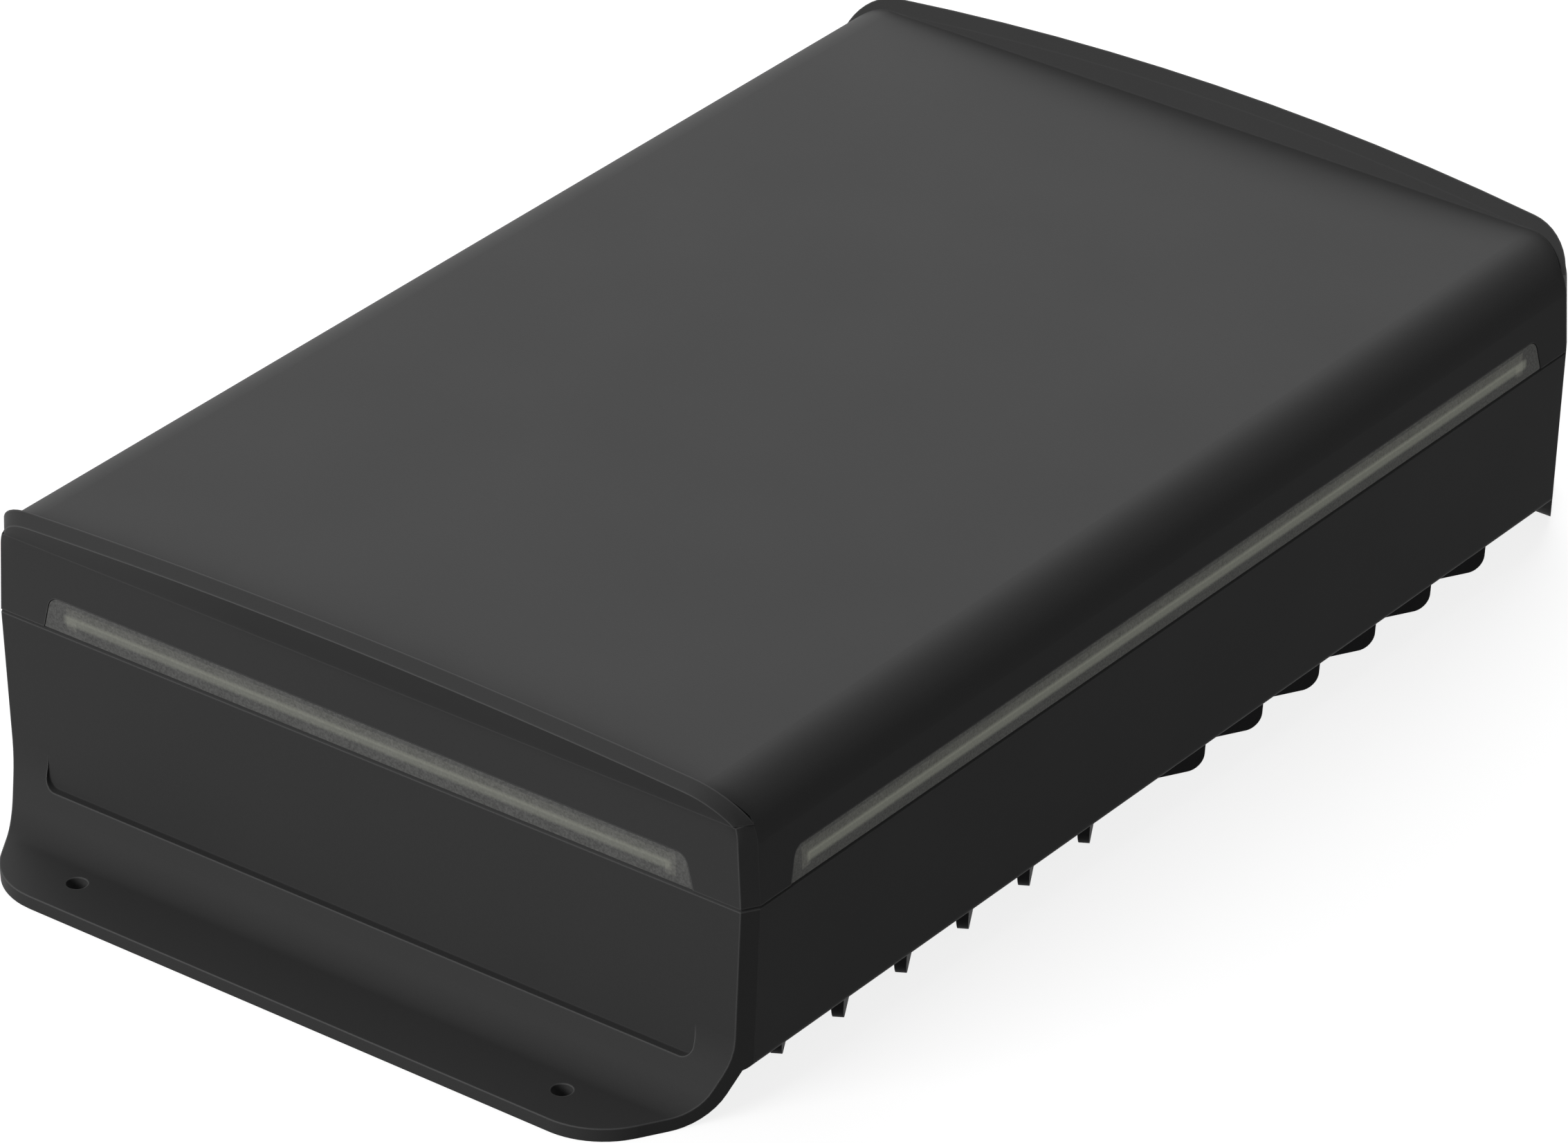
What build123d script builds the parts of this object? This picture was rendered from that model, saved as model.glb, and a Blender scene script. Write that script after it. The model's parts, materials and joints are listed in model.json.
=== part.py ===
"""A flat wall-mounted electronics housing: a moulded base with two fixing flanges, a moulded lid with
arched end brows, light windows on all four sides and a finned heat sink underneath.

X runs across the housing, Y along it and Z up from the mounting surface. The origin is the middle of the
footprint. All lengths are in millimetres and all angles in degrees.
"""

import os
from math import ceil, cos, radians, sin, tan

from build123d import *

os.makedirs("parts", exist_ok=True)

# Body
half_width = 103.65  # side wall at the seam
end_wall_y = 153.9  # end wall, from the middle
seam_z = 52.0
skirt_z = 11.5  # lower edge of the side walls
wall = 3.5
side_draft = 2.7
corner_cut_x = 2.3
corner_cut_y = 3.8
cavity_corner = 3.0
skirt_edge_radius = 2.0
ledge_size = 0.7

# Fixing flanges
flange_reach = 27.2  # beyond the end wall
flange_thickness = 3.2
flange_corner = 19.0
flare_lean = 28.5  # flare from the vertical
flare_top_z = 15.2  # where the flare's slope would meet the end wall
flare_radius = 17.5
flange_radius = 9.0
fixing_hole = 4.8
fixing_from_side = 36.5
fixing_from_wall = 16.9
relief_from_side = 14.25
relief_z = 11.6
relief_corner = 3.0

# Lid
lid_height = 25.95
shoulder_radius = 12.1
brow_lean = 29.3  # brow from the vertical
brow_soft_line = 19.25  # start of the brow's underside, above the seam
brow_soft_radius = 6.0
brow_crease_setback = 0.8  # crease behind the end wall
brow_rise = 8.1  # crest above the crease, along the lean
brow_arch_drop = 6.0  # from the middle of the crest to the line of the side walls
brow_corner = 14.0
brow_thickness = 3.97
brow_ridge_offset = 0.76  # crest from the inner face
brow_inner_bevel = 3.57
brow_outer_bevel_top = 1.31
brow_outer_bevel_side = 2.5
lid_rib_thickness = 1.8
lid_rib_depth = 3.5
lid_rib_pitch = 46.0

# Light windows and the light guides behind them
window_height = 8.1
window_from_side = 14.75
window_from_end = 14.2
window_slant = 14.0
window_corner = 3.0
window_gap = 0.15
window_foot_gap = 0.15
window_recess = 0.1
window_plate = 1.2
window_skirt = 1.2
window_rim = 2.5
window_rim_thickness = 1.0
guide_low = 3.2
guide_height = 2.8
guide_depth = 2.2
guide_foot_width = 2.8
guide_foot_low = 0.7
guide_foot_height = 2.4
guide_end_gap = 2.6
guide_leg_setback = 7.0
guide_leg_depth = 2.4

# Seam gasket
gasket_inset = 1.5
gasket_width = 1.4
gasket_depth = 1.0

# Floor of the base
floor_top_z = 23.0
floor_thickness = 3.0
pocket_end_wall = 5.4  # below the floor
floor_opening_from_side = 43.65
floor_opening_from_end = 63.9
floor_opening_corner = 6.0

# Heat sink
sink_gap_x = 1.2
sink_gap_y = 1.8
sink_corner = 5.0
sink_thickness = 4.0
pedestal_gap = 10.0
fin_tip_z = 1.4
fin_root = 3.6
fin_draft = 2.5
fin_pitch = 22.15
fin_first_y = 22.8
fin_shift_y = -2.4
fin_angle = 60.0
fin_middle_gap = 6.0
fin_side_gap = 1.5
fin_end_gap = 2.0
fin_corner = 4.0
seal_margin = 6.0
seal_width = 2.5
seal_depth = 1.2
seal_corner = 6.0

# Screws that close the lid, from below
lid_screw_from_side = 29.65
lid_screw_from_end = 12.9
lid_screw_mid_from_side = 12.65
base_boss = 12.0
lid_boss = 10.0
screw_well = 8.4
screw_seat_z = 34.0
lid_screw_shank = 3.9
lid_screw_clear = 4.5
lid_screw_head = 7.6
lid_screw_head_height = 3.0
lid_screw_length = 24.0
insert_size = 6.4  # across its corners
insert_length = 7.7
insert_bore = 4.0
insert_sink = 0.3
insert_gap = 0.05
insert_relief = 3.0
boss_rib = 2.5

# Screws that hold the heat sink
sink_screw_from_edge = 8.0
sink_screw_shank = 3.9
sink_screw_clear = 4.5
sink_screw_head = 6.8
sink_screw_head_height = 2.8
sink_screw_length = 9.5
sink_boss = 8.0
sink_boss_height = 4.0
sink_access_hole = 9.0

# Circuit board
board_z = 28.0
board_thickness = 1.6
board_gap_x = 0.6
board_gap_y = 0.7
board_slot = 13.2
board_post = 7.0
board_post_from_side = 19.65
board_post_from_end = 48.9
board_screw_shank = 2.9
board_screw_head = 5.6
board_screw_head_height = 2.2
board_screw_length = 5.2
thread_gap = 0.1
pad_margin = 2.0
pad_thickness = 1.5
led_length = 3.4
led_width = 2.6
led_height = 1.2
led_gap = 0.3

# Worked out from the above
draft = tan(radians(side_draft))
flange_end_y = end_wall_y + flange_reach
fixing_x = half_width - fixing_from_side
fixing_y = end_wall_y + fixing_from_wall
cut_start_y = end_wall_y - corner_cut_y
relief_half_width = half_width - relief_from_side
top_z = seam_z + lid_height
soft_z = seam_z + brow_soft_line
floor_z = floor_top_z - floor_thickness
pocket_half_x = half_width - wall - (seam_z - floor_z) * draft
floor_opening_x = half_width - floor_opening_from_side
floor_opening_y = end_wall_y - floor_opening_from_end
sink_under_z = floor_z - sink_thickness
sink_half_x = pocket_half_x - sink_gap_x
sink_half_y = end_wall_y - lid_screw_from_end - screw_well / 2 - sink_gap_y
pedestal_half_x = floor_opening_x - pedestal_gap
pedestal_half_y = floor_opening_y - pedestal_gap
fin_slope = tan(radians(fin_angle))
fin_start_x = sink_half_x - fin_side_gap
fin_start_y = sink_half_y - fin_end_gap
seal_x = floor_opening_x + seal_margin
seal_y = floor_opening_y + seal_margin
pad_z = board_z - pad_thickness
inner_top_z = top_z - wall
crease_y = end_wall_y - brow_crease_setback
flare_slope = tan(radians(flare_lean))
flange_bend_y = end_wall_y + (flare_top_z - flange_thickness) * flare_slope
under_bend_y = flange_bend_y + flange_thickness * flare_slope - flange_thickness / cos(radians(flare_lean))
guide_foot_z = board_z + board_thickness + led_height + led_gap
board_half_x = half_width - wall - (seam_z - board_z) * draft - board_gap_x
board_half_y = end_wall_y - wall - (seam_z - board_z) * draft - board_gap_y


def four_corners(x, y):
    return [(side_x * x, side_y * y) for side_x in (-1, 1) for side_y in (-1, 1)]


lid_screw_spots = four_corners(half_width - lid_screw_from_side, end_wall_y - lid_screw_from_end)
lid_screw_spots += [(side * (half_width - lid_screw_mid_from_side), 0) for side in (-1, 1)]

# Each heat-sink screw sits midway between two fins
sink_screw_y = sink_half_y - sink_screw_from_edge
fins_before_screw = ceil((sink_screw_y - fin_first_y) / fin_pitch + 0.5) - 0.5
sink_screw_spots = []
for side_x, side_y in four_corners(1, 1):
    gap_y = fin_first_y + fins_before_screw * fin_pitch + side_y * fin_shift_y
    sink_screw_spots.append((side_x * (fin_start_x - (gap_y - sink_screw_y) / fin_slope), side_y * sink_screw_y))
board_spots = four_corners(half_width - board_post_from_side, end_wall_y - board_post_from_end)

# Outer faces of the four walls: local X along the wall, local Y up it and local Z outwards
lean_in = radians(side_draft)
wall_planes = {
    "front": Plane(origin=(0, -end_wall_y, seam_z), x_dir=(1, 0, 0), z_dir=(0, -1, 0)),
    "rear": Plane(origin=(0, end_wall_y, seam_z), x_dir=(-1, 0, 0), z_dir=(0, 1, 0)),
    "right": Plane(origin=(half_width, 0, seam_z), x_dir=(0, 1, 0), z_dir=(cos(lean_in), 0, sin(lean_in))),
    "left": Plane(origin=(-half_width, 0, seam_z), x_dir=(0, -1, 0), z_dir=(-cos(lean_in), 0, sin(lean_in))),
}
window_half = {
    "front": half_width - window_from_side,
    "rear": half_width - window_from_side,
    "right": end_wall_y - window_from_end,
    "left": end_wall_y - window_from_end,
}


def seam_outline(inset):
    """Plan of the body at the seam, with its cut corners, drawn inset from the outer walls."""
    with BuildSketch(mode=Mode.PRIVATE) as outline:
        with BuildLine():
            Polyline(
                (half_width, cut_start_y),
                (half_width - corner_cut_x, end_wall_y),
                (-half_width + corner_cut_x, end_wall_y),
                (-half_width, cut_start_y),
                (-half_width, -cut_start_y),
                (-half_width + corner_cut_x, -end_wall_y),
                (half_width - corner_cut_x, -end_wall_y),
                (half_width, -cut_start_y),
                close=True,
            )
        make_face()
        offset(amount=-inset, kind=Kind.INTERSECTION, mode=Mode.REPLACE)
    return outline.sketch


def window_outline(half_length, grow, bottom):
    """A light window on its wall: slanted ends and rounded upper corners, grown all round but at its foot."""
    slant = tan(radians(window_slant))
    top = window_height + grow
    low_half = half_length + grow / cos(radians(window_slant)) - bottom * slant
    top_half = half_length + grow / cos(radians(window_slant)) - top * slant
    with BuildSketch(mode=Mode.PRIVATE) as outline:
        with BuildLine():
            Polyline((-low_half, bottom), (low_half, bottom), (top_half, top), (-top_half, top), close=True)
        make_face()
        fillet(outline.vertices().group_by(Axis.Y)[-1], radius=window_corner + grow)
    return outline.sketch


# Base: walls, flare and flanges in one moulding
with BuildPart() as base_shell:
    # Cross section with drafted sides
    with BuildSketch(Plane.XZ):
        with BuildLine():
            Polyline(
                (-half_width, seam_z),
                (half_width, seam_z),
                (half_width - seam_z * draft, 0),
                (-half_width + seam_z * draft, 0),
                close=True,
            )
        make_face()
    extrude(amount=flange_end_y, both=True)

    # Long section, kept across the whole width: end wall, flare, flange and the open underside
    with BuildSketch(Plane.YZ) as section:
        with BuildLine():
            FilletPolyline(
                (end_wall_y, seam_z),
                (end_wall_y, flare_top_z),
                (flange_bend_y, flange_thickness),
                (flange_end_y, flange_thickness),
                radius=[flare_radius, flange_radius],
            )
            Line((flange_end_y, flange_thickness), (flange_end_y, 0))
            FilletPolyline(
                (flange_end_y, 0),
                (under_bend_y, 0),
                (under_bend_y - skirt_z * flare_slope, skirt_z),
                radius=flange_radius + flange_thickness,
            )
            Polyline(
                (under_bend_y - skirt_z * flare_slope, skirt_z),
                (0, skirt_z),
                (0, seam_z),
                (end_wall_y, seam_z),
            )
        make_face()
        mirror(about=Plane.YZ)
    extrude(amount=half_width + 1, both=True, mode=Mode.INTERSECT)

    # Cut corners, carried on as the sides of the flanges and into their rounded corners
    for side_x in (-1, 1):
        with BuildSketch(Plane.XY.offset(seam_z)):
            for side_y in (-1, 1):
                cut_slope = corner_cut_x / corner_cut_y
                flange_half_x = half_width - cut_slope * (flange_end_y - cut_start_y)
                with BuildLine():
                    FilletPolyline(
                        (side_x * half_width, side_y * cut_start_y),
                        (side_x * flange_half_x, side_y * flange_end_y),
                        (side_x * (flange_half_x - 2 * flange_corner), side_y * flange_end_y),
                        radius=flange_corner,
                    )
                    Polyline(
                        (side_x * (flange_half_x - 2 * flange_corner), side_y * flange_end_y),
                        (side_x * (flange_half_x - 2 * flange_corner), side_y * (flange_end_y + 5)),
                        (side_x * (half_width + 5), side_y * (flange_end_y + 5)),
                        (side_x * (half_width + 5), side_y * cut_start_y),
                        (side_x * half_width, side_y * cut_start_y),
                    )
                make_face()
        extrude(amount=seam_z + 1, dir=(-side_x * draft, 0, -1), mode=Mode.SUBTRACT)

    # Rounded lower edges of the side walls
    skirt_edges = base_shell.edges().filter_by(Axis.Y).filter_by_position(Axis.Z, skirt_z - 0.01, skirt_z + 0.01)
    fillet(skirt_edges, radius=skirt_edge_radius)

    # Ledge along the top edge
    chamfer(base_shell.edges().group_by(Axis.Z)[-1], length=ledge_size)

    # Inside above the floor
    with BuildSketch(Plane.XY.offset(seam_z)):
        RectangleRounded(2 * (half_width - wall), 2 * (end_wall_y - wall), cavity_corner)
    extrude(amount=floor_top_z - seam_z, taper=side_draft, mode=Mode.SUBTRACT)

    # Pocket below the floor, for the heat sink
    with BuildSketch(Plane.XY.offset(floor_z)):
        RectangleRounded(2 * pocket_half_x, 2 * (end_wall_y - pocket_end_wall), cavity_corner)
    extrude(amount=-floor_z, taper=side_draft, mode=Mode.SUBTRACT)

    # Opening for the heat sink's pedestal
    with BuildSketch(Plane.XY.offset(floor_z)):
        RectangleRounded(2 * floor_opening_x, 2 * floor_opening_y, floor_opening_corner)
    extrude(amount=floor_thickness, mode=Mode.SUBTRACT)

    # Bosses for the lid screws, each tied to its wall by a rib
    with BuildSketch(Plane.XY.offset(floor_z)):
        with Locations(*lid_screw_spots):
            Circle(base_boss / 2)
    extrude(amount=seam_z - floor_z)
    rib_top_z = seam_z - ledge_size - gasket_depth
    with BuildSketch(Plane.XY.offset(floor_top_z)):
        for x, y in lid_screw_spots:
            if y:
                rib_end_y = (end_wall_y - wall / 2) * (1 if y > 0 else -1)
                with Locations((x, (y + rib_end_y) / 2)):
                    Rectangle(boss_rib, abs(rib_end_y - y))
            else:
                rib_end_x = (half_width - wall) * (1 if x > 0 else -1)
                with Locations(((x + rib_end_x) / 2, y)):
                    Rectangle(abs(rib_end_x - x), boss_rib)
    extrude(amount=rib_top_z - floor_top_z)
    with BuildSketch(Plane.XY.offset(floor_z)):
        with Locations(*lid_screw_spots):
            Circle(screw_well / 2)
    extrude(amount=screw_seat_z - floor_z, mode=Mode.SUBTRACT)
    with BuildSketch(Plane.XY.offset(screw_seat_z)):
        with Locations(*lid_screw_spots):
            Circle(lid_screw_clear / 2)
    extrude(amount=seam_z - screw_seat_z, mode=Mode.SUBTRACT)

    # Bosses for the heat-sink screws and posts for the board
    with BuildSketch(Plane.XY.offset(floor_top_z)):
        with Locations(*sink_screw_spots):
            Rectangle(sink_boss, sink_boss)
    extrude(amount=sink_boss_height)
    with BuildSketch(Plane.XY.offset(floor_z)):
        with Locations(*sink_screw_spots):
            Circle((sink_screw_shank + thread_gap) / 2)
    extrude(amount=sink_screw_length - sink_thickness + 0.5, mode=Mode.SUBTRACT)
    with BuildSketch(Plane.XY.offset(floor_top_z)):
        with Locations(*board_spots):
            Rectangle(board_post, board_post)
    extrude(amount=board_z - floor_top_z)
    with BuildSketch(Plane.XY.offset(board_z)):
        with Locations(*board_spots):
            Circle((board_screw_shank + thread_gap) / 2)
    extrude(amount=-(board_screw_length - board_thickness + 0.5), mode=Mode.SUBTRACT)

    # Groove for the seam gasket
    with BuildSketch(Plane.XY.offset(seam_z)):
        add(seam_outline(gasket_inset))
        add(seam_outline(gasket_inset + gasket_width), mode=Mode.SUBTRACT)
    extrude(amount=-gasket_depth, mode=Mode.SUBTRACT)

    # Reliefs in both flares, which carry the end walls straight down to a ledge
    for end in (-1, 1):
        with BuildSketch(Plane.XZ.offset(-end * end_wall_y)) as relief:
            with Locations((0, (relief_z + seam_z) / 2)):
                Rectangle(2 * relief_half_width, seam_z - relief_z)
            fillet(relief.vertices().group_by(Axis.Y)[0], radius=relief_corner)
        extrude(amount=-end * (flange_end_y - end_wall_y), mode=Mode.SUBTRACT)

    # Fixing holes
    with BuildSketch():
        with GridLocations(2 * fixing_x, 2 * fixing_y, 2, 2):
            Circle(fixing_hole / 2)
    extrude(amount=flange_thickness, mode=Mode.SUBTRACT)


def brow_profile(top_bevel, side_bevel):
    """Front of a brow, in its leaning plane: straight sides, rounded corners and a long flat arch."""
    lean = radians(brow_lean)
    low = -(lid_height - brow_soft_line) / cos(lean) - brow_thickness
    side_slope = draft * cos(lean)
    side_x = half_width - lid_height * draft - side_bevel
    top = brow_rise - top_bevel
    spring_x = side_x - top * side_slope
    spring = top - brow_arch_drop
    with BuildSketch(mode=Mode.PRIVATE) as profile:
        with BuildLine():
            Polyline(
                (-spring_x, spring),
                (-side_x + low * side_slope, low),
                (side_x - low * side_slope, low),
                (spring_x, spring),
            )
            ThreePointArc((spring_x, spring), (0, top), (-spring_x, spring))
        make_face()
        upper = profile.vertices().group_by(Axis.Y)[-1]
        fillet(upper, radius=brow_corner - (top_bevel + side_bevel) / 2)
    return profile.sketch


def brow_plane(end):
    """Inner face of a brow: it starts at the crease in the lid's top and leans outwards."""
    lean = radians(brow_lean)
    return Plane(
        origin=(0, end * crease_y, top_z), x_dir=(-end, 0, 0), z_dir=(0, end * cos(lean), -sin(lean))
    )


def lid_section(inset):
    """Cross section of the lid: drafted sides and a flat top with round shoulders."""
    half = half_width - inset
    with BuildSketch(mode=Mode.PRIVATE) as section:
        with BuildLine():
            Polyline(
                (-half, seam_z),
                (half, seam_z),
                (half - lid_height * draft, top_z),
                (-half + lid_height * draft, top_z),
                close=True,
            )
        make_face()
        fillet(section.vertices().group_by(Axis.Y)[-1], radius=shoulder_radius - inset)
    return section.sketch


# The brows, one at each end, from their inner face over the crest to their outer face
with BuildPart() as brows:
    for end in (-1, 1):
        sections = (
            (0, brow_inner_bevel, brow_inner_bevel / 2),
            (brow_ridge_offset, 0, 0),
            (brow_thickness, brow_outer_bevel_top, brow_outer_bevel_side),
        )
        for depth, top_bevel, side_bevel in sections:
            with BuildSketch(brow_plane(end).offset(depth)):
                add(brow_profile(top_bevel, side_bevel))
        loft(ruled=True)
    split(bisect_by=Plane.XY.offset(soft_z), keep=Keep.TOP)

# The end walls under the brows, whose cut corners follow the round shoulders
with BuildPart() as lid_ends:
    for end in (-1, 1):
        for depth, inset in ((cut_start_y, 0), (end_wall_y, corner_cut_x)):
            with BuildSketch(Plane.XZ.offset(end * depth)):
                add(lid_section(inset))
        loft(ruled=True)
    split(bisect_by=Plane.XY.offset(soft_z), keep=Keep.BOTTOM)

# Lid: one moulding with its brows
with BuildPart() as lid_shell:
    with BuildSketch(Plane.XZ):
        add(lid_section(0))
    extrude(amount=crease_y, both=True)
    with BuildSketch(Plane.YZ):
        with BuildLine():
            behind_brow_z = top_z - (crease_y - cut_start_y) / tan(radians(brow_lean))
            Polyline(
                (0, seam_z),
                (cut_start_y, seam_z),
                (cut_start_y, behind_brow_z),
                (crease_y, top_z),
                (0, top_z),
                close=True,
            )
        make_face()
        mirror(about=Plane.YZ)
    extrude(amount=half_width, both=True, mode=Mode.INTERSECT)
    add(lid_ends.part)
    add(brows.part)

    # Inside
    with BuildSketch(Plane.XZ) as lid_inside:
        with BuildLine():
            inner_half = half_width - wall
            Polyline(
                (-inner_half, seam_z),
                (inner_half, seam_z),
                (inner_half - (lid_height - wall) * draft, inner_top_z),
                (-inner_half + (lid_height - wall) * draft, inner_top_z),
                close=True,
            )
        make_face()
        fillet(lid_inside.vertices().group_by(Axis.Y)[-1], radius=shoulder_radius - wall)
    extrude(amount=end_wall_y - wall, both=True, mode=Mode.SUBTRACT)

    # Window openings, open at the seam
    for name, plane in wall_planes.items():
        with BuildSketch(plane.offset(-wall - window_rim_thickness)):
            add(window_outline(window_half[name], 0, -1.0))
        extrude(amount=wall + window_rim_thickness + 1, mode=Mode.SUBTRACT)

    # Ribs under the top
    rib_lines_x = [-1.5 * lid_rib_pitch, -0.5 * lid_rib_pitch, 0.5 * lid_rib_pitch, 1.5 * lid_rib_pitch]
    rib_lines_y = [-2.5 * lid_rib_pitch + step * lid_rib_pitch for step in range(6)]
    with BuildSketch(Plane.XY.offset(inner_top_z - lid_rib_depth)):
        with Locations(*[(x, 0) for x in rib_lines_x]):
            Rectangle(lid_rib_thickness, 2 * (end_wall_y - wall / 2))
        with Locations(*[(0, y) for y in rib_lines_y]):
            Rectangle(2 * (half_width - wall - lid_height * draft), lid_rib_thickness)
    extrude(amount=lid_rib_depth)

    # Screw bosses, with their insert holes
    with BuildSketch(Plane.XY.offset(seam_z)):
        with Locations(*lid_screw_spots):
            Circle(lid_boss / 2)
    extrude(amount=inner_top_z - seam_z)
    with BuildSketch(Plane.XY.offset(seam_z)):
        with Locations(*lid_screw_spots):
            RegularPolygon(insert_size / 2 + insert_gap, 6)
    extrude(amount=insert_sink + insert_length + insert_relief, mode=Mode.SUBTRACT)

# Gasket in the seam
with BuildPart() as seam_gasket:
    with BuildSketch(Plane.XY.offset(seam_z)):
        add(seam_outline(gasket_inset))
        add(seam_outline(gasket_inset + gasket_width), mode=Mode.SUBTRACT)
    extrude(amount=-gasket_depth)


def window(name):
    """A light window: a flush plate with a skirt and a rim that is bonded behind the lid's wall."""
    plane = wall_planes[name]
    half_length = window_half[name]
    outer = window_outline(half_length, -window_gap, window_foot_gap)
    hollow = window_outline(half_length, -window_gap - window_skirt, window_foot_gap)
    rim = window_outline(half_length, window_rim, window_foot_gap)
    with BuildPart() as piece:
        with BuildSketch(plane.offset(-window_recess)):
            add(outer)
        extrude(amount=-(wall - window_recess))
        with BuildSketch(plane.offset(-wall)):
            add(rim)
        extrude(amount=-window_rim_thickness)
        with BuildSketch(plane.offset(-window_recess - window_plate)):
            add(hollow)
        extrude(amount=-(wall + window_rim_thickness), mode=Mode.SUBTRACT)
    return piece.part


def guide_half_length(name):
    return (
        window_half[name]
        - (guide_low + guide_height) * tan(radians(window_slant))
        - window_gap
        - window_skirt
        - guide_end_gap
    )


def light_guide(name):
    """A clear bar behind its window, with a leg at each end that stands over a light on the board."""
    plane = wall_planes[name]
    half_length = guide_half_length(name)
    leg_x = half_length - guide_foot_width / 2
    face_depth = window_recess + window_plate
    leg_z = -guide_leg_setback - guide_leg_depth / 2
    leg = plane.from_local_coords((0, 0, leg_z))
    foot = plane.to_local_coords(Vector(leg.X, leg.Y, guide_foot_z))
    with BuildPart() as piece:
        with BuildSketch(plane.offset(-face_depth)):
            with Locations((0, guide_low + guide_height / 2)):
                Rectangle(2 * half_length, guide_height)
            for end in (-1, 1):
                with Locations((end * leg_x, (guide_foot_low + guide_low) / 2)):
                    Rectangle(guide_foot_width, guide_low - guide_foot_low)
        extrude(amount=-guide_depth)
        with BuildSketch(plane.offset(-face_depth)):
            for end in (-1, 1):
                with Locations((end * leg_x, guide_foot_low + guide_foot_height / 2)):
                    Rectangle(guide_foot_width, guide_foot_height)
        extrude(amount=-(guide_leg_setback + guide_leg_depth - face_depth))
        with BuildSketch(plane.offset(-guide_leg_setback)):
            for end in (-1, 1):
                with Locations((end * leg_x, (foot.Y + guide_foot_low) / 2)):
                    Rectangle(guide_foot_width, guide_foot_low - foot.Y)
        extrude(amount=-guide_leg_depth)
    return piece.part


for name in wall_planes:
    pane = window(name)
    pane.label = "window_" + name
    export_step(pane, "parts/window_" + name + ".step")
    guide = light_guide(name)
    guide.label = "light_guide_" + name
    export_step(guide, "parts/light_guide_" + name + ".step")

# Heat sink: a cast plate with a pedestal above and a herringbone of fins below
with BuildPart() as heat_sink:
    with BuildSketch(Plane.XY.offset(sink_under_z)):
        RectangleRounded(2 * sink_half_x, 2 * sink_half_y, sink_corner)
    extrude(amount=sink_thickness)
    with BuildSketch(Plane.XY.offset(floor_z)):
        RectangleRounded(2 * pedestal_half_x, 2 * pedestal_half_y, floor_opening_corner)
    extrude(amount=pad_z - floor_z)
    with BuildSketch(Plane.XY.offset(floor_z)):
        RectangleRounded(2 * seal_x + seal_width, 2 * seal_y + seal_width, seal_corner)
        RectangleRounded(
            2 * seal_x - seal_width, 2 * seal_y - seal_width, seal_corner - seal_width, mode=Mode.SUBTRACT
        )
    extrude(amount=-seal_depth, mode=Mode.SUBTRACT)
    with BuildSketch(Plane.XY.offset(sink_under_z)):
        with Locations(*sink_screw_spots):
            Circle(sink_screw_clear / 2)
        with Locations(*[spot for spot in lid_screw_spots if spot[1] == 0]):
            Circle(sink_access_hole / 2)
    extrude(amount=sink_thickness, mode=Mode.SUBTRACT)

    # Each fin runs inwards and towards the middle from the side or the end of the plate
    fin_count = int((fin_start_y + fin_start_x * fin_slope) / fin_pitch)
    with BuildSketch(Plane.XY.offset(sink_under_z)):
        for step in range(fin_count):
            for side_x, side_y in four_corners(1, 1):
                line_y = fin_first_y + step * fin_pitch + side_y * fin_shift_y
                start_y = min(line_y, fin_start_y)
                start_x = fin_start_x - (line_y - start_y) / fin_slope
                end_x = max(start_x - (start_y - fin_middle_gap) / fin_slope, fin_middle_gap)
                end_y = start_y - (start_x - end_x) * fin_slope
                length = (start_x - end_x) / cos(radians(fin_angle))
                middle = (side_x * (start_x + end_x) / 2, side_y * (start_y + end_y) / 2)
                if length > 4 * fin_corner:
                    with Locations(Location(middle, side_x * side_y * fin_angle)):
                        Rectangle(length, fin_root)
    extrude(amount=-(sink_under_z - fin_tip_z), taper=fin_draft)
    tip_ends = heat_sink.edges().filter_by_position(Axis.Z, fin_tip_z - 0.01, fin_tip_z + 0.01)
    tip_ends = tip_ends.filter_by(lambda edge: edge.length < fin_root)
    near_rim = 2 * fin_corner
    outer_ends = tip_ends.filter_by(
        lambda edge: abs(edge.center().X) > fin_start_x - near_rim or abs(edge.center().Y) > fin_start_y - near_rim
    )
    fillet(outer_ends, radius=fin_corner)

# Seal between the heat sink and the base's floor
with BuildPart() as heat_sink_seal:
    with BuildSketch(Plane.XY.offset(floor_z)):
        RectangleRounded(2 * seal_x + seal_width, 2 * seal_y + seal_width, seal_corner)
        RectangleRounded(
            2 * seal_x - seal_width, 2 * seal_y - seal_width, seal_corner - seal_width, mode=Mode.SUBTRACT
        )
    extrude(amount=-seal_depth)

# Pad that carries heat from the board to the pedestal
with BuildPart() as thermal_pad:
    with BuildSketch(Plane.XY.offset(pad_z)):
        Rectangle(2 * (pedestal_half_x - pad_margin), 2 * (pedestal_half_y - pad_margin))
    extrude(amount=board_z - pad_z)


def screws(spots, seat_z, up, head, head_height, shank, length):
    """A group of like screws: heads under their seats when up is 1, on top of them when it is -1."""
    with BuildPart() as group:
        with BuildSketch(Plane.XY.offset(seat_z)):
            with Locations(*spots):
                RegularPolygon(head / 2, 6)
        extrude(amount=-up * head_height)
        with BuildSketch(Plane.XY.offset(seat_z)):
            with Locations(*spots):
                Circle(shank / 2)
        extrude(amount=up * length)
    return group.part


lid_screws = screws(
    lid_screw_spots,
    screw_seat_z,
    1,
    lid_screw_head,
    lid_screw_head_height,
    lid_screw_shank,
    lid_screw_length,
)
heat_sink_screws = screws(
    sink_screw_spots,
    sink_under_z,
    1,
    sink_screw_head,
    sink_screw_head_height,
    sink_screw_shank,
    sink_screw_length,
)
board_screws = screws(
    board_spots,
    board_z + board_thickness,
    -1,
    board_screw_head,
    board_screw_head_height,
    board_screw_shank,
    board_screw_length,
)

# Threaded inserts in the lid's bosses
with BuildPart() as lid_inserts:
    with BuildSketch(Plane.XY.offset(seam_z + insert_sink)):
        with Locations(*lid_screw_spots):
            RegularPolygon(insert_size / 2, 6)
            Circle(insert_bore / 2, mode=Mode.SUBTRACT)
    extrude(amount=insert_length)

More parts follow.
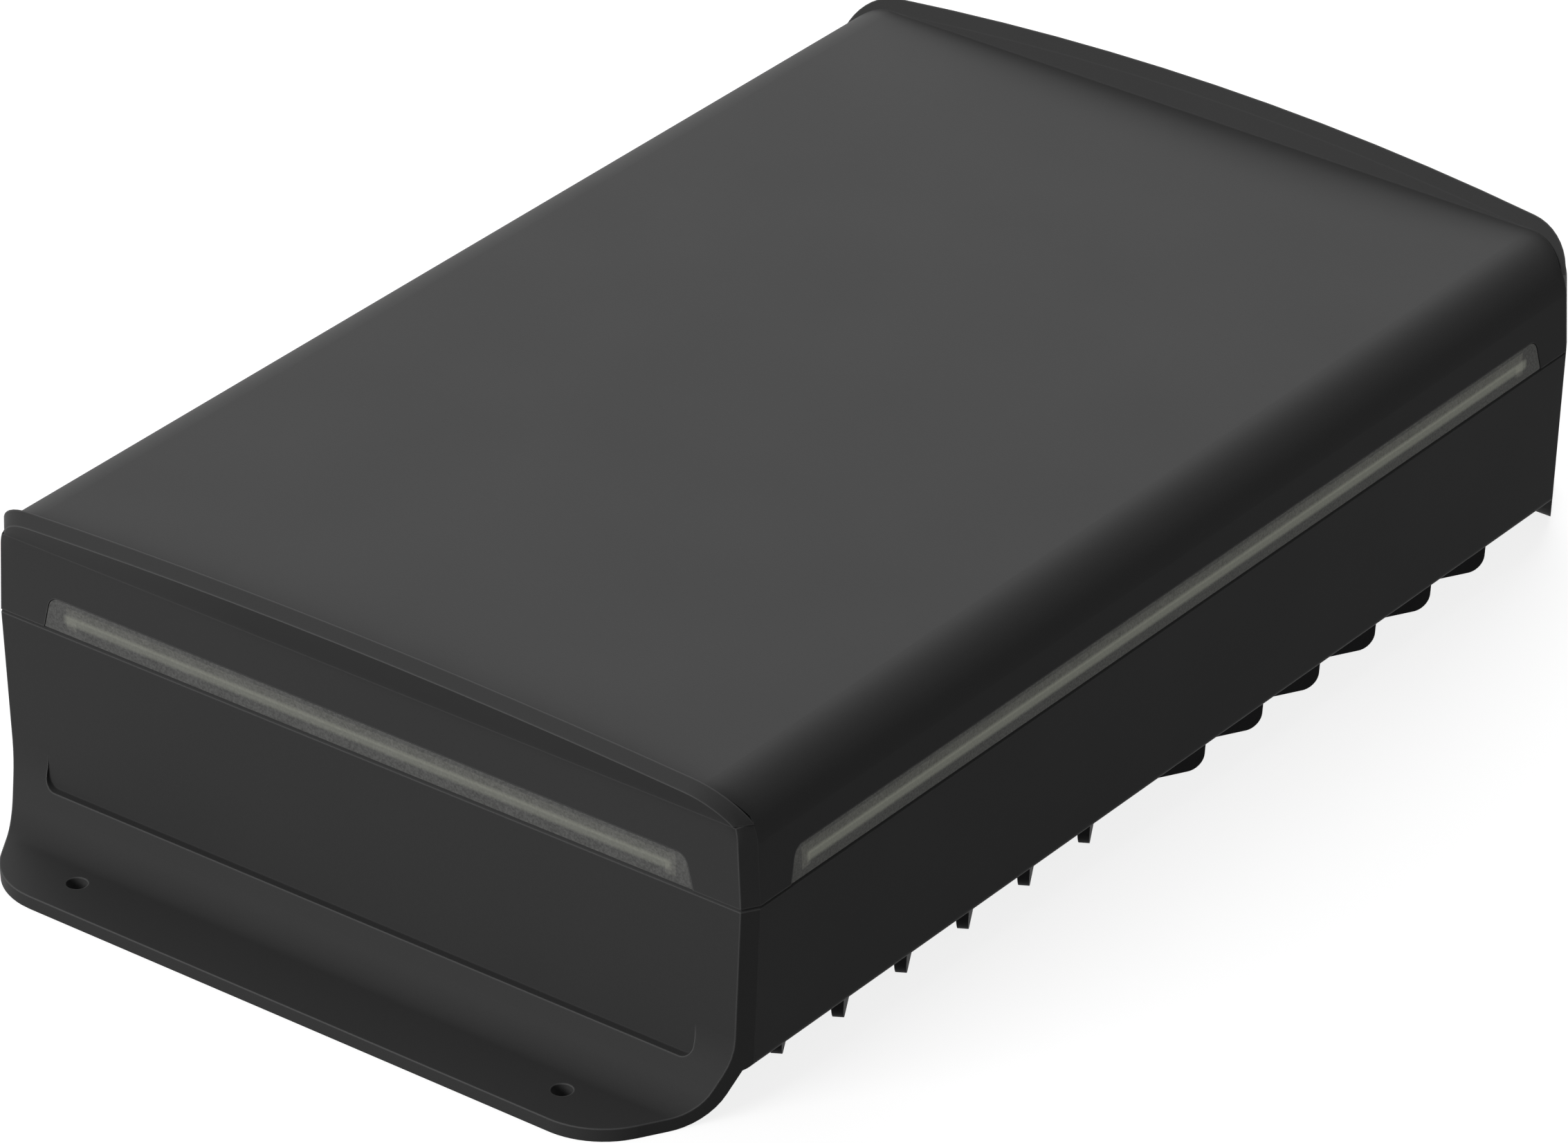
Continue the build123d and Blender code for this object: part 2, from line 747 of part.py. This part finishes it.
# Circuit board, slotted round the lid-screw bosses
with BuildPart() as main_board:
    board_half_x = half_width - wall - (seam_z - board_z) * draft - board_gap_x
    board_half_y = end_wall_y - wall - (seam_z - board_z) * draft - board_gap_y
    with BuildSketch(Plane.XY.offset(board_z)):
        RectangleRounded(2 * board_half_x, 2 * board_half_y, cavity_corner)
        for x, y in lid_screw_spots:
            with Locations((x, y)):
                Circle(board_slot / 2, mode=Mode.SUBTRACT)
            if y:
                with Locations((x, y * (1 + end_wall_y / abs(y)) / 2)):
                    Rectangle(board_slot, end_wall_y - abs(y), mode=Mode.SUBTRACT)
            else:
                with Locations((x * (1 + half_width / abs(x)) / 2, y)):
                    Rectangle(half_width - abs(x), board_slot, mode=Mode.SUBTRACT)
        with Locations(*board_spots):
            Circle((board_screw_shank + thread_gap) / 2, mode=Mode.SUBTRACT)
    extrude(amount=board_thickness)

# Lights on the board, one under each leg of the guides
with BuildPart() as leds:
    for name, plane in wall_planes.items():
        leg_z = -guide_leg_setback - guide_leg_depth / 2
        drop = (seam_z - guide_foot_z) * (draft if name in ("left", "right") else 0)
        along = guide_half_length(name) - guide_foot_width / 2
        for end in (-1, 1):
            spot = plane.from_local_coords((end * along, 0, leg_z + drop))
            size_x = led_length if name in ("front", "rear") else led_width
            size_y = led_width if name in ("front", "rear") else led_length
            with BuildSketch(Plane.XY.offset(board_z + board_thickness)):
                with Locations((spot.X, spot.Y)):
                    Rectangle(size_x, size_y)
            extrude(amount=led_height)

base_shell.part.label = "base_shell"
export_step(base_shell.part, "parts/base_shell.step")
lid_shell.part.label = "lid_shell"
export_step(lid_shell.part, "parts/lid_shell.step")
seam_gasket.part.label = "seam_gasket"
export_step(seam_gasket.part, "parts/seam_gasket.step")
heat_sink.part.label = "heat_sink"
export_step(heat_sink.part, "parts/heat_sink.step")
heat_sink_seal.part.label = "heat_sink_seal"
export_step(heat_sink_seal.part, "parts/heat_sink_seal.step")
thermal_pad.part.label = "thermal_pad"
export_step(thermal_pad.part, "parts/thermal_pad.step")
lid_screws.label = "lid_screws"
export_step(lid_screws, "parts/lid_screws.step")
heat_sink_screws.label = "heat_sink_screws"
export_step(heat_sink_screws, "parts/heat_sink_screws.step")
board_screws.label = "board_screws"
export_step(board_screws, "parts/board_screws.step")
lid_inserts.part.label = "lid_inserts"
export_step(lid_inserts.part, "parts/lid_inserts.step")
main_board.part.label = "main_board"
export_step(main_board.part, "parts/main_board.step")
leds.part.label = "leds"
export_step(leds.part, "parts/leds.step")
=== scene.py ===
import json

import bpy
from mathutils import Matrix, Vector

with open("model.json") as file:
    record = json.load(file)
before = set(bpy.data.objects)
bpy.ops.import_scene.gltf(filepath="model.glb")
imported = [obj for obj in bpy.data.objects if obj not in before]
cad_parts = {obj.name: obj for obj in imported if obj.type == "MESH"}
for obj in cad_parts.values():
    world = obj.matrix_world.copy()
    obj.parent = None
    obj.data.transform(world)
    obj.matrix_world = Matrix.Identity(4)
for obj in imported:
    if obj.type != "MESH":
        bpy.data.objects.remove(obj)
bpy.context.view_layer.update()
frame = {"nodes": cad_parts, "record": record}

MM = 0.001
WHITE = (1.0, 1.0, 1.0, 1.0)

# Places on the housing, in millimetres from its origin
END_WALL_Y = 152.5
SOFT_LINE_Z = 71.3
GUIDE_LINE_Z = 55.9
GUIDE_END_X = 83.5
GUIDE_END_Y = 134.3

# How far the soft line under a brow spreads, and how round it looks, in millimetres
SOFT_REACH = 5.0
SOFT_RADIUS = 5.0

# How round a moulding's outer edges look, and the painted highlight on them: colour lifted where light would
# catch, and kept out of inner corners
EDGE_RADIUS = 0.5
EDGE_HIGHLIGHT_LIFT = 44
EDGE_HIGHLIGHT_SHARE = 0.8
EDGE_GAIN = 24.0
CORNER_REACH = 2.0
CORNER_SHADE = 0.8
CORNER_GAIN = 6.0

# Painted glow on a pane where the light guide behind it would shine through: its full height, and how fast it
# fades above and below; then its colour, and the faint painted glow over the rest of the pane
GLOW_PEAK = 1.8
GLOW_FADE = 1.2
GLOW_COLOUR = (0.098, 0.101, 0.083)
PANE_GLOW_DARK = (0.012, 0.012, 0.011)
PANE_GLOW_PALE = (0.038, 0.038, 0.035)

# Floor and surroundings
FLOOR_REACH = 6.0
FLOOR_BOUNCE = (0.1, 0.1, 0.1, 1.0)
FLOOR_SHADED = (0.35, 0.35, 0.35, 1.0)
FLOOR_GLOW = 0.84
SURROUNDINGS = 0.15

# Camera: the photograph's long lens, from the front right and above
CAMERA_PLACE = (1.1172, -1.4637, 1.0876)
CAMERA_LOOK = (-0.5273, 0.6875, -0.4993)
CAMERA_LENS = 218.14
CAMERA_SENSOR = 36.0
CAMERA_REACH = 50.0


class Val:
    """A socket that can be used in Python sums: each sum adds the Math node it needs."""

    def __init__(self, making, socket):
        self.making = making
        self.socket = socket

    def sum(self, operation, first, second, clamp=False):
        return self.making.node(
            "ShaderNodeMath", {"operation": operation, "use_clamp": clamp}, {0: first, 1: second}
        )

    def __add__(self, other):
        return self.sum("ADD", self, other)

    def __radd__(self, other):
        return self.sum("ADD", other, self)

    def __sub__(self, other):
        return self.sum("SUBTRACT", self, other)

    def __rsub__(self, other):
        return self.sum("SUBTRACT", other, self)

    def __mul__(self, other):
        return self.sum("MULTIPLY", self, other)

    def __rmul__(self, other):
        return self.sum("MULTIPLY", other, self)

    def __truediv__(self, other):
        return self.sum("DIVIDE", self, other)

    def __rtruediv__(self, other):
        return self.sum("DIVIDE", other, self)

    def size(self):
        return self.sum("ABSOLUTE", self, None)

    def clamped(self):
        return self.sum("ADD", self, 0.0, clamp=True)


class Finish:
    """One material, or the world's light, made from nodes."""

    def __init__(self, name, world=None):
        self.holder = world or bpy.data.materials.new(name)
        self.holder.use_nodes = True
        self.tree = self.holder.node_tree
        self.tree.nodes.clear()

    def node(self, kind, settings=None, sockets=None, output=0):
        """One node, with its settings first and then the values or links of its sockets."""
        made = self.tree.nodes.new(kind)
        for key, value in (settings or {}).items():
            setattr(made, key, value)
        for key, value in (sockets or {}).items():
            target = made.inputs[key]
            if isinstance(value, Val):
                self.tree.links.new(value.socket, target)
            elif value is not None:
                target.default_value = value
        return Val(self, made.outputs[output])

    def surface(self, shader):
        in_world = isinstance(self.holder, bpy.types.World)
        out = self.tree.nodes.new("ShaderNodeOutputWorld" if in_world else "ShaderNodeOutputMaterial")
        self.tree.links.new(shader.socket, out.inputs["Surface"])
        return self.holder

    def principled(self, sockets):
        return self.surface(self.node("ShaderNodeBsdfPrincipled", sockets=sockets))

    def place(self):
        return self.node("ShaderNodeTexCoord", output=3)

    def noise(self, size, detail=2.0, rough=0.5):
        """Noise in the object's own space, whose patches are about size millimetres across."""
        return self.node(
            "ShaderNodeTexNoise",
            {"noise_dimensions": "3D"},
            {"Vector": self.place(), "Scale": 1.0 / (size * MM), "Detail": detail, "Roughness": rough},
        )

    def bump(self, height, depth, strength=1.0, normal=None):
        """Relief of the given depth in millimetres."""
        return self.node(
            "ShaderNodeBump",
            sockets={"Height": height, "Distance": depth * MM, "Strength": strength, "Normal": normal},
        )

    def rounded(self, radius):
        """Normals that soften every edge over radius millimetres."""
        return self.node("ShaderNodeBevel", {"samples": 6}, {"Radius": radius * MM})

    def along(self, axis):
        """Distance from the housing's origin along X, Y or Z, in millimetres."""
        return self.node("ShaderNodeSeparateXYZ", sockets={"Vector": self.place()}, output=axis) / MM

    def painted_edge_highlight(self, edges):
        """Mask for a painted highlight: one on the outer edges of a moulding, where light would catch, and
        nothing in its inner corners.
        """
        facing = self.node("ShaderNodeNewGeometry", output="Normal")
        turned = self.node(
            "ShaderNodeVectorMath", {"operation": "DOT_PRODUCT"}, {0: edges, 1: facing}, output="Value"
        )
        open_air = self.node(
            "ShaderNodeAmbientOcclusion", {"samples": 4}, {"Distance": CORNER_REACH * MM}, output="AO"
        )
        on_edge = ((1.0 - turned) * EDGE_GAIN).clamped()
        outside = ((open_air - CORNER_SHADE) * CORNER_GAIN).clamped()
        return on_edge * outside

    def blend_normals(self, amount, first, second):
        mixed = self.node(
            "ShaderNodeMix",
            {"data_type": "VECTOR", "clamp_factor": True},
            {0: amount, 4: first, 5: second},
            output=1,
        )
        return self.node("ShaderNodeVectorMath", {"operation": "NORMALIZE"}, {0: mixed})

    def looked_at(self):
        """One where the camera, a gloss or clear plastic looks, and nothing where only light falls."""
        camera, gloss, through = [
            self.node("ShaderNodeLightPath", output=ray)
            for ray in ("Is Camera Ray", "Is Glossy Ray", "Is Transmission Ray")
        ]
        return (camera + gloss + through).clamped()

    def tint(self, amount, low, high):
        """A colour between low, which may be a socket, and high."""
        return self.node(
            "ShaderNodeMix",
            {"data_type": "RGBA", "clamp_factor": True},
            {0: amount, 6: low if isinstance(low, Val) else (*low, 1.0), 7: (*high, 1.0)},
            output=2,
        )


def grey(level):
    """A linear grey for a screen level of 0 to 255."""
    part = level / 255.0
    value = part / 12.92 if part <= 0.04045 else ((part + 0.055) / 1.055) ** 2.4
    return (value, value, value)


def brow_softness(made):
    """One along the soft line under each brow, falling to nothing a few millimetres above and below it."""
    near_line = 1.0 - (made.along("Z") - SOFT_LINE_Z).size() / SOFT_REACH
    return near_line.clamped() * (made.along("Y").size() - END_WALL_Y).clamped()


def moulded(name, level, spread=3.0, roughness=0.55, grain=0.35, shine=0.04, soft=None):
    """Moulded plastic with a fine spark-eroded texture, the slight mottle of a large moulding, and a painted
    highlight on its outer edges.
    """
    made = Finish(name)
    fine = made.noise(grain, 3.0, 0.6)
    broad = made.noise(38.0)
    mottle = (fine - 0.5) * 0.9 + (broad - 0.5) * 0.5 + 0.5
    colour = made.tint(mottle.clamped(), grey(level - spread), grey(level + spread))
    edges = made.rounded(EDGE_RADIUS)
    # Painted highlight: the colour is made lighter on outer edges, where light would catch
    colour = made.tint(made.painted_edge_highlight(edges) * EDGE_HIGHLIGHT_SHARE, colour, grey(level + EDGE_HIGHLIGHT_LIFT))
    if soft:
        edges = made.blend_normals(soft(made), edges, made.rounded(SOFT_RADIUS))
    return made.principled(
        {
            "Base Color": colour,
            "Roughness": (roughness + (broad - 0.5) * 0.08 + (fine - 0.5) * 0.1).clamped(),
            "Specular IOR Level": shine,
            "Normal": made.bump(fine, grain * 0.12, 0.5, edges),
        }
    )


def painted_guide_glow(made):
    """Mask for a painted glow: one where the light guide would shine into a pane, along its whole length, and
    nothing past its ends.
    """
    height = (GLOW_PEAK - (made.along("Z") - GUIDE_LINE_Z).size() * GLOW_FADE).clamped()
    across = (GUIDE_END_X - made.along("X").size()).clamped()
    along = (GUIDE_END_Y - made.along("Y").size()).clamped()
    return height * (across + along).clamped()


def smoked_pane(name):
    """Smoked translucent plastic with a frosted grain, and a painted glow in its emission: faint over the
    whole pane, brighter where the guide behind it would shine in.
    """
    made = Finish(name)
    grain = made.noise(0.5, 2.0, 0.6)
    broad = made.noise(9.0)
    speck = ((grain - 0.5) * 1.8 + (broad - 0.5) * 0.3 + 0.5).clamped()
    faint = made.tint(speck, PANE_GLOW_DARK, PANE_GLOW_PALE)
    return made.principled(
        {
            "Base Color": made.tint(speck, grey(68), grey(96)),
            "Roughness": 0.6,
            "Specular IOR Level": 0.1,
            "Alpha": 0.92,
            # Painted glow: emission, faint and speckled over the pane, brighter along the guide's line
            "Emission Color": made.tint(painted_guide_glow(made), faint, GLOW_COLOUR),
            "Emission Strength": 1.0,
            "Normal": made.bump(grain, 0.03, 0.5, made.rounded(0.12)),
        }
    )


def guide_plastic_painted_glow(name):
    """Clear plastic with a painted glow: emission standing in for the light it would carry from its legs."""
    made = Finish(name)
    haze = made.noise(2.0)
    return made.principled(
        {
            "Base Color": made.tint(haze, (0.36, 0.37, 0.31), (0.44, 0.45, 0.38)),
            "Roughness": 0.35,
            "Specular IOR Level": 0.4,
            # Painted glow: the guide emits light though it holds no lamp
            "Emission Color": (0.5, 0.5, 0.41, 1.0),
            "Emission Strength": 0.9,
            "Normal": made.bump(haze, 0.05, 0.3),
        }
    )


def plain(name, low, high, size, roughness, depth, metallic=0.0, shine=0.5, edge=0.15):
    """A finish that mottles between two colours, with a grain of the given size and depth."""
    made = Finish(name)
    mottle = made.noise(size, 3.0, 0.6)
    return made.principled(
        {
            "Base Color": made.tint(mottle, low, high),
            "Roughness": (roughness + (mottle - 0.5) * 0.2).clamped(),
            "Metallic": metallic,
            "Specular IOR Level": shine,
            "Normal": made.bump(mottle, depth, 0.6, made.rounded(edge)),
        }
    )


def solder_mask(name):
    """Green board with faint tracks under its mask."""
    made = Finish(name)
    tracks = made.node(
        "ShaderNodeTexBrick",
        {"offset": 0.37, "squash": 1.0},
        {
            "Vector": made.place(),
            "Scale": 160.0,
            "Mortar Size": 0.03,
            "Color1": (0.0, 0.0, 0.0, 1.0),
            "Color2": (0.1, 0.1, 0.1, 1.0),
            "Mortar": WHITE,
        },
        output=1,
    )
    return made.principled(
        {
            "Base Color": made.tint(tracks, (0.01, 0.075, 0.028), (0.018, 0.12, 0.045)),
            "Roughness": 0.35,
            "Normal": made.bump(tracks, 0.03, 0.4),
        }
    )


def cast_black(name):
    """Cast metal with a black coat, rough to the touch and rounded at its edges."""
    return plain(name, (0.006, 0.006, 0.0065), (0.013, 0.013, 0.014), 0.7, 0.6, 0.08, shine=0.08, edge=0.4)


finishes = {
    "lid_plastic": moulded("lid_plastic", 66, soft=brow_softness),
    "base_plastic": moulded("base_plastic", 64),
    "seal": plain("black_seal", (0.008, 0.008, 0.008), (0.014, 0.014, 0.014), 0.6, 0.7, 0.03),
    "window": smoked_pane("smoked_pane"),
    "light_guide": guide_plastic_painted_glow("clear_guide_painted_glow"),
    "sink": cast_black("cast_black"),
    "steel": plain("zinc_steel", (0.42, 0.43, 0.45), (0.58, 0.58, 0.6), 0.5, 0.35, 0.02, metallic=1.0),
    "brass": plain("turned_brass", (0.55, 0.38, 0.14), (0.68, 0.49, 0.2), 0.5, 0.35, 0.02, metallic=1.0),
    "board": solder_mask("solder_mask"),
    "light": plain("light_lens", (0.72, 0.7, 0.52), (0.8, 0.78, 0.62), 0.8, 0.3, 0.01),
    "pad": plain("thermal_pad", (0.24, 0.27, 0.31), (0.3, 0.33, 0.37), 1.2, 0.8, 0.05),
}
slots = {row["node"]: row["material_slot"] for row in frame["record"]["subparts"]}
for name, piece in frame["nodes"].items():
    piece.data.materials.clear()
    piece.data.materials.append(finishes[slots[name]])


def pale_floor():
    """Dark to the light that it throws back, and white where the camera or a gloss looks at it."""
    made = Finish("pale_floor")
    bounce = made.node("ShaderNodeBsdfDiffuse", sockets={"Color": FLOOR_BOUNCE})
    shaded = made.node("ShaderNodeBsdfDiffuse", sockets={"Color": FLOOR_SHADED})
    glow = made.node("ShaderNodeEmission", sockets={"Color": WHITE, "Strength": FLOOR_GLOW})
    white = made.node("ShaderNodeAddShader", sockets={0: shaded, 1: glow})
    return made.surface(made.node("ShaderNodeMixShader", sockets={0: made.looked_at(), 1: bounce, 2: white}))


floor_mesh = bpy.data.meshes.new("floor")
corners = [(-1, -1), (1, -1), (1, 1), (-1, 1)]
floor_mesh.from_pydata([(x * FLOOR_REACH, y * FLOOR_REACH, 0.0) for x, y in corners], [], [(0, 1, 2, 3)])
floor = bpy.data.objects.new("floor", floor_mesh)
floor.data.materials.append(pale_floor())
bpy.context.scene.collection.objects.link(floor)

# Even surroundings: faint as a light, and white to the camera and to a gloss
world = bpy.data.worlds.new("surroundings")
bpy.context.scene.world = world
around = Finish("surroundings", world)
dim = around.node("ShaderNodeBackground", sockets={"Color": WHITE, "Strength": SURROUNDINGS})
bright = around.node("ShaderNodeBackground", sockets={"Color": WHITE, "Strength": 1.0})
around.surface(around.node("ShaderNodeMixShader", sockets={0: around.looked_at(), 1: dim, 2: bright}))


def softbox(name, place, size, watts, aim=(0.0, 0.0, 0.05)):
    """A rectangular lamp that looks at the housing."""
    lamp = bpy.data.lights.new(name, "AREA")
    lamp.shape = "RECTANGLE"
    lamp.size = size[0]
    lamp.size_y = size[1]
    lamp.energy = watts
    holder = bpy.data.objects.new(name, lamp)
    holder.location = place
    holder.rotation_euler = (Vector(aim) - Vector(place)).to_track_quat("-Z", "Y").to_euler()
    bpy.context.scene.collection.objects.link(holder)


softbox("rear_softbox", (-1.1, 1.5, 0.95), (2.4, 1.0), 26)
softbox("top_softbox", (-0.3, 0.1, 2.2), (1.6, 1.6), 9)
softbox("front_softbox", (-0.6, -2.2, 1.0), (1.4, 1.0), 34)

camera = bpy.data.objects.new("camera", bpy.data.cameras.new("camera"))
camera.data.sensor_width = CAMERA_SENSOR
camera.data.lens = CAMERA_LENS
camera.data.clip_end = CAMERA_REACH
camera.location = CAMERA_PLACE
camera.rotation_euler = Vector(CAMERA_LOOK).to_track_quat("-Z", "Y").to_euler()
bpy.context.scene.collection.objects.link(camera)
bpy.context.scene.camera = camera
bpy.context.scene.view_settings.view_transform = "Standard"
